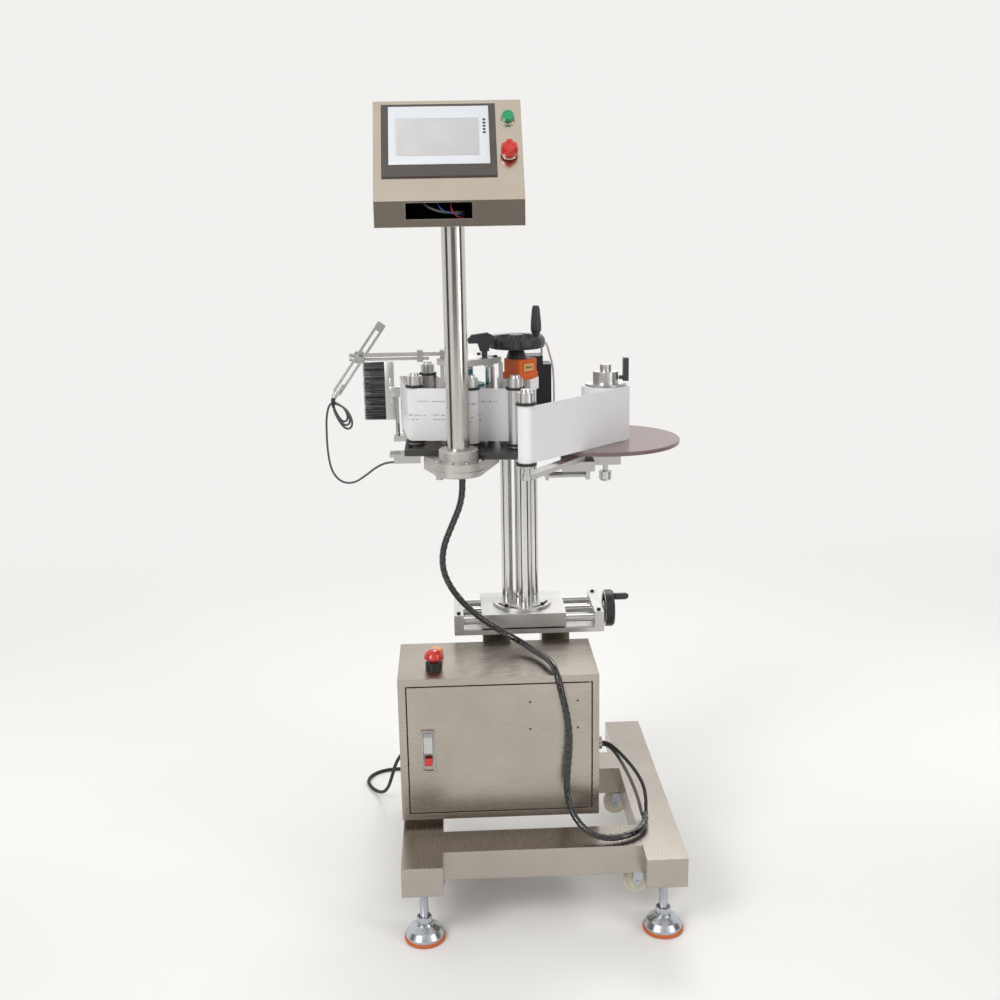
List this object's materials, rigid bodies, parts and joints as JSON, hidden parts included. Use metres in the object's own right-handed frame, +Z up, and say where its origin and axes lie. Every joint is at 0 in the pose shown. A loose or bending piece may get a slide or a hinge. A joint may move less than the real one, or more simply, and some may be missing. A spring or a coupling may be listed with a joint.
{
  "type": "box labelling machine",
  "caption": "Labelling machine for cartons: castered base, control cabinet, cross slide, crank lifted tower, and a label head with rollers, unwind disc and operator console.",
  "frame": {"origin": "on the floor under the middle of the machine's overall footprint, cords not counted", "axes": "+Z up, the door and the console face -Y, +X along the cross slide towards its handwheel"},
  "size_m": [0.7192, 0.818, 1.5847],
  "materials": {
    "base_frame": "brushed stainless tube",
    "levelling_feet": "zinc plated cup on an orange rubber pad",
    "cabinet_body": "brushed stainless sheet",
    "control_gear": "grey modules on a zinc plate",
    "lid_switch_bodies": "black collar and amber lamp",
    "slide_base": "clear anodised",
    "harness": "black spiral wrap",
    "power_cable": "black sheath",
    "power_coil": "black sheath",
    "power_plug": "black moulding",
    "cabinet_door": "brushed stainless sheet",
    "latch_handle": "plated zinc casting",
    "latch_button": "red moulding",
    "estop_mushroom": "red moulding",
    "carriage_block": "clear anodised",
    "slide_screw": "dark screw with a black wheel",
    "slide_crank_grip": "black moulding",
    "turntable_disc": "clear anodised",
    "lift_columns": "hard chromed columns",
    "position_indicator": "orange moulding",
    "lift_screw": "dark screw",
    "lift_handwheel": "black moulding",
    "lift_crank_grip": "black moulding",
    "head_plate": "dark grey anodised",
    "post_socket": "cast and painted",
    "bearing_blocks": "clear anodised",
    "traction_bridge": "clear anodised",
    "peel_plate": "stainless blade",
    "adjusting_rods": "stainless rods",
    "drive_motor": "black case",
    "label_web": "labels on a paper liner",
    "sensor_cable": "grey sheath",
    "hmi_post": "brushed stainless tube",
    "hmi_console": "brushed stainless sheet",
    "touch_panel": "black frame and screen",
    "start_button": "green moulding",
    "stop_button": "red moulding",
    "dancer_arm": "clear anodised",
    "dancer_roller": "turned, with black rings",
    "unwind_disc": "tinted acrylic",
    "unwind_hub": "turned",
    "label_roll": "wound labels",
    "core_clamp_lever": "black moulding",
    "drive_roller": "teal rubber on a steel core",
    "pinch_roller": "hard chromed",
    "pinch_lever": "black moulding",
    "wipe_brush": "holder with dark bristles",
    "product_sensor_arm": "slotted bar with a sensor",
    "caster_fork_front_left": "zinc plated pressing",
    "caster_wheel_front_left": "cream nylon",
    "caster_fork_front_right": "zinc plated pressing",
    "caster_wheel_front_right": "cream nylon",
    "caster_fork_rear_left": "zinc plated pressing",
    "caster_wheel_rear_left": "cream nylon",
    "caster_fork_rear_right": "zinc plated pressing",
    "caster_wheel_rear_right": "cream nylon",
    "guide_roller_a": "turned, with black rings",
    "guide_roller_b": "turned, with black rings",
    "guide_roller_c": "turned, with black rings",
    "guide_roller_d": "turned, with black rings"
  },
  "bodies": {
    "base": {"base_frame": "base_frame", "levelling_feet": "levelling_feet", "cabinet_body": "cabinet_body", "control_gear": "control_gear", "lid_switch_bodies": "lid_switch_bodies", "slide_base": "slide_base", "harness": "harness", "power_cable": "power_cable", "power_coil": "power_coil", "power_plug": "power_plug"},
    "door": {"cabinet_door": "cabinet_door"},
    "latch_handle": {"latch_handle": "latch_handle"},
    "latch_button": {"latch_button": "latch_button"},
    "estop": {"estop_mushroom": "estop_mushroom"},
    "carriage": {"carriage_block": "carriage_block"},
    "slide_screw": {"slide_screw": "slide_screw"},
    "slide_grip": {"slide_crank_grip": "slide_crank_grip"},
    "turntable": {"turntable_disc": "turntable_disc", "lift_columns": "lift_columns", "position_indicator": "position_indicator"},
    "lift_wheel": {"lift_screw": "lift_screw", "lift_handwheel": "lift_handwheel"},
    "lift_grip": {"lift_crank_grip": "lift_crank_grip"},
    "head": {"head_plate": "head_plate", "post_socket": "post_socket", "bearing_blocks": "bearing_blocks", "traction_bridge": "traction_bridge", "peel_plate": "peel_plate", "adjusting_rods": "adjusting_rods", "drive_motor": "drive_motor", "label_web": "label_web", "sensor_cable": "sensor_cable"},
    "hmi": {"hmi_post": "hmi_post", "hmi_console": "hmi_console", "touch_panel": "touch_panel"},
    "start_button": {"start_button": "start_button"},
    "stop_button": {"stop_button": "stop_button"},
    "dancer": {"dancer_arm": "dancer_arm"},
    "dancer_roller": {"dancer_roller": "dancer_roller"},
    "unwind": {"unwind_disc": "unwind_disc", "unwind_hub": "unwind_hub", "label_roll": "label_roll"},
    "core_lever": {"core_clamp_lever": "core_clamp_lever"},
    "drive_roller": {"drive_roller": "drive_roller"},
    "pinch_roller": {"pinch_roller": "pinch_roller"},
    "pinch_lever": {"pinch_lever": "pinch_lever"},
    "brush": {"wipe_brush": "wipe_brush"},
    "sensor_arm": {"product_sensor_arm": "product_sensor_arm"},
    "caster_front_left": {"caster_fork_front_left": "caster_fork_front_left"},
    "wheel_front_left": {"caster_wheel_front_left": "caster_wheel_front_left"},
    "caster_front_right": {"caster_fork_front_right": "caster_fork_front_right"},
    "wheel_front_right": {"caster_wheel_front_right": "caster_wheel_front_right"},
    "caster_rear_left": {"caster_fork_rear_left": "caster_fork_rear_left"},
    "wheel_rear_left": {"caster_wheel_rear_left": "caster_wheel_rear_left"},
    "caster_rear_right": {"caster_fork_rear_right": "caster_fork_rear_right"},
    "wheel_rear_right": {"caster_wheel_rear_right": "caster_wheel_rear_right"},
    "roller_a": {"guide_roller_a": "guide_roller_a"},
    "roller_b": {"guide_roller_b": "guide_roller_b"},
    "roller_c": {"guide_roller_c": "guide_roller_c"},
    "roller_d": {"guide_roller_d": "guide_roller_d"}
  },
  "joints": [
    {"name": "door_hinge", "type": "hinge", "parent": "base", "child": "door", "pos_m": [0.14884, -0.1455, 0.337], "axis": [0, 0, 1], "range_deg": [0, 110], "deforming": ["harness"]},
    {"name": "latch_handle_swing", "type": "hinge", "parent": "door", "child": "latch_handle", "pos_m": [-0.17516, -0.154, 0.378], "axis": [-1, 0, 0], "range_deg": [0, 60]},
    {"name": "latch_button_press", "type": "slide", "parent": "door", "child": "latch_button", "axis": [0, 1, 0], "range_m": [0, 0.004], "stiffness_N_per_m": 600, "springref_m": -0.002},
    {"name": "estop_press", "type": "slide", "parent": "base", "child": "estop", "axis": [0, 0, -1], "range_m": [0, 0.006], "stiffness_N_per_m": 800, "springref_m": -0.002},
    {"name": "caster_swivel_front_left", "type": "hinge", "parent": "base", "child": "caster_front_left", "pos_m": [-0.16516, -0.219, 0.1], "axis": [0, 0, 1], "continuous": true},
    {"name": "wheel_spin_front_left", "type": "hinge", "parent": "caster_front_left", "child": "wheel_front_left", "pos_m": [-0.16516, -0.199, 0.078], "axis": [-1, 0, 0], "continuous": true},
    {"name": "caster_swivel_front_right", "type": "hinge", "parent": "base", "child": "caster_front_right", "pos_m": [0.25484, -0.219, 0.1], "axis": [0, 0, 1], "continuous": true},
    {"name": "wheel_spin_front_right", "type": "hinge", "parent": "caster_front_right", "child": "wheel_front_right", "pos_m": [0.23484, -0.219, 0.078], "axis": [0, -1, 0], "continuous": true},
    {"name": "caster_swivel_rear_left", "type": "hinge", "parent": "base", "child": "caster_rear_left", "pos_m": [-0.16516, 0.1, 0.1], "axis": [0, 0, 1], "continuous": true},
    {"name": "wheel_spin_rear_left", "type": "hinge", "parent": "caster_rear_left", "child": "wheel_rear_left", "pos_m": [-0.15832, 0.11879, 0.078], "axis": [-0.9397, 0.342, 0], "continuous": true},
    {"name": "caster_swivel_rear_right", "type": "hinge", "parent": "base", "child": "caster_rear_right", "pos_m": [0.25484, 0.1, 0.1], "axis": [0, 0, 1], "continuous": true},
    {"name": "wheel_spin_rear_right", "type": "hinge", "parent": "caster_rear_right", "child": "wheel_rear_right", "pos_m": [0.23484, 0.1, 0.078], "axis": [0, -1, 0], "continuous": true},
    {"name": "carriage_slide", "type": "slide", "parent": "base", "child": "carriage", "axis": [1, 0, 0], "range_m": [-0.038, 0.06], "deforming": ["harness"]},
    {"name": "slide_screw_turn", "type": "hinge", "parent": "base", "child": "slide_screw", "pos_m": [0.04484, 0.128, 0.531], "axis": [1, 0, 0], "continuous": true},
    {"name": "slide_grip_spin", "type": "hinge", "parent": "slide_screw", "child": "slide_grip", "pos_m": [0.23484, 0.128, 0.557], "axis": [1, 0, 0], "continuous": true},
    {"name": "turntable_turn", "type": "hinge", "parent": "carriage", "child": "turntable", "pos_m": [0.03184, 0.128, 0.55], "axis": [0, 0, 1], "range_deg": [-45, 45], "deforming": ["harness"]},
    {"name": "lift_slide", "type": "slide", "parent": "turntable", "child": "head", "axis": [0, 0, 1], "range_m": [-0.26, 0.08], "deforming": ["harness"]},
    {"name": "lift_screw_turn", "type": "hinge", "parent": "turntable", "child": "lift_wheel", "pos_m": [0.02684, 0.128, 0.8], "axis": [0, 0, 1], "continuous": true},
    {"name": "lift_grip_spin", "type": "hinge", "parent": "lift_wheel", "child": "lift_grip", "pos_m": [0.06684, 0.108, 1.16], "axis": [0, 0, 1], "continuous": true},
    {"name": "hmi_swivel", "type": "hinge", "parent": "head", "child": "hmi", "pos_m": [-0.09916, -0.05, 1], "axis": [0, 0, 1], "range_deg": [-90, 90]},
    {"name": "start_button_press", "type": "slide", "parent": "hmi", "child": "start_button", "axis": [0, 0.8387, -0.5446], "range_m": [0, 0.003], "stiffness_N_per_m": 500, "springref_m": -0.002},
    {"name": "stop_button_press", "type": "slide", "parent": "hmi", "child": "stop_button", "axis": [0, 0.8387, -0.5446], "range_m": [0, 0.005], "stiffness_N_per_m": 700, "springref_m": -0.002},
    {"name": "dancer_swing", "type": "hinge", "parent": "head", "child": "dancer", "pos_m": [0.13984, -0.031, 0.9], "axis": [0, 0, 1], "range_deg": [-25, 10], "stiffness_Nm_per_rad": 0.6, "deforming": ["label_web"]},
    {"name": "dancer_roller_spin", "type": "hinge", "parent": "dancer", "child": "dancer_roller", "pos_m": [0.02584, -0.19, 0.985], "axis": [0, 0, 1], "continuous": true},
    {"name": "roller_a_spin", "type": "hinge", "parent": "head", "child": "roller_a", "pos_m": [-0.18416, 0.06, 0.985], "axis": [0, 0, 1], "continuous": true},
    {"name": "roller_b_spin", "type": "hinge", "parent": "head", "child": "roller_b", "pos_m": [-0.16016, 0.236, 0.985], "axis": [0, 0, 1], "continuous": true},
    {"name": "roller_c_spin", "type": "hinge", "parent": "head", "child": "roller_c", "pos_m": [-0.07216, 0.011, 0.985], "axis": [0, 0, 1], "continuous": true},
    {"name": "roller_d_spin", "type": "hinge", "parent": "head", "child": "roller_d", "pos_m": [0.01684, -0.003, 0.985], "axis": [0, 0, 1], "continuous": true},
    {"name": "unwind_spin", "type": "hinge", "parent": "head", "child": "unwind", "pos_m": [0.20084, 0.03, 0.95], "axis": [0, 0, 1], "continuous": true},
    {"name": "core_lever_swing", "type": "hinge", "parent": "unwind", "child": "core_lever", "pos_m": [0.22984, 0.022, 1.055], "axis": [1, 0, 0], "range_deg": [0, 90]},
    {"name": "drive_roller_spin", "type": "hinge", "parent": "head", "child": "drive_roller", "pos_m": [-0.07316, 0.07, 0.985], "axis": [0, 0, 1], "continuous": true},
    {"name": "pinch_roller_spin", "type": "hinge", "parent": "head", "child": "pinch_roller", "pos_m": [-0.03066, 0.078, 0.985], "axis": [0, 0, 1], "continuous": true},
    {"name": "pinch_lever_swing", "type": "hinge", "parent": "head", "child": "pinch_lever", "pos_m": [-0.04116, 0.06, 1.105], "axis": [0, 0, 1], "range_deg": [-60, 60]},
    {"name": "brush_swing", "type": "hinge", "parent": "head", "child": "brush", "pos_m": [-0.22916, 0.232, 1], "axis": [0, 0, 1], "range_deg": [-20, 20]},
    {"name": "sensor_tilt", "type": "hinge", "parent": "head", "child": "sensor_arm", "pos_m": [-0.29216, 0.045, 1.1015], "axis": [0, 1, 0], "range_deg": [-30, 20], "deforming": ["sensor_cable"]}
  ],
  "couplings": [
    {"joint": "slide_screw_turn", "follows": "carriage_slide", "rad_per_m": 1256.6},
    {"joint": "lift_screw_turn", "follows": "lift_slide", "rad_per_m": 1256.6},
    {"joint": "dancer_roller_spin", "follows": "unwind_spin", "ratio": 3.2333},
    {"joint": "roller_d_spin", "follows": "unwind_spin", "ratio": -3.2333},
    {"joint": "roller_c_spin", "follows": "unwind_spin", "ratio": -3.2333},
    {"joint": "roller_a_spin", "follows": "unwind_spin", "ratio": 3.2333},
    {"joint": "roller_b_spin", "follows": "unwind_spin", "ratio": 3.2333},
    {"joint": "drive_roller_spin", "follows": "unwind_spin", "ratio": -1.5156},
    {"joint": "pinch_roller_spin", "follows": "unwind_spin", "ratio": 5.1053}
  ]
}
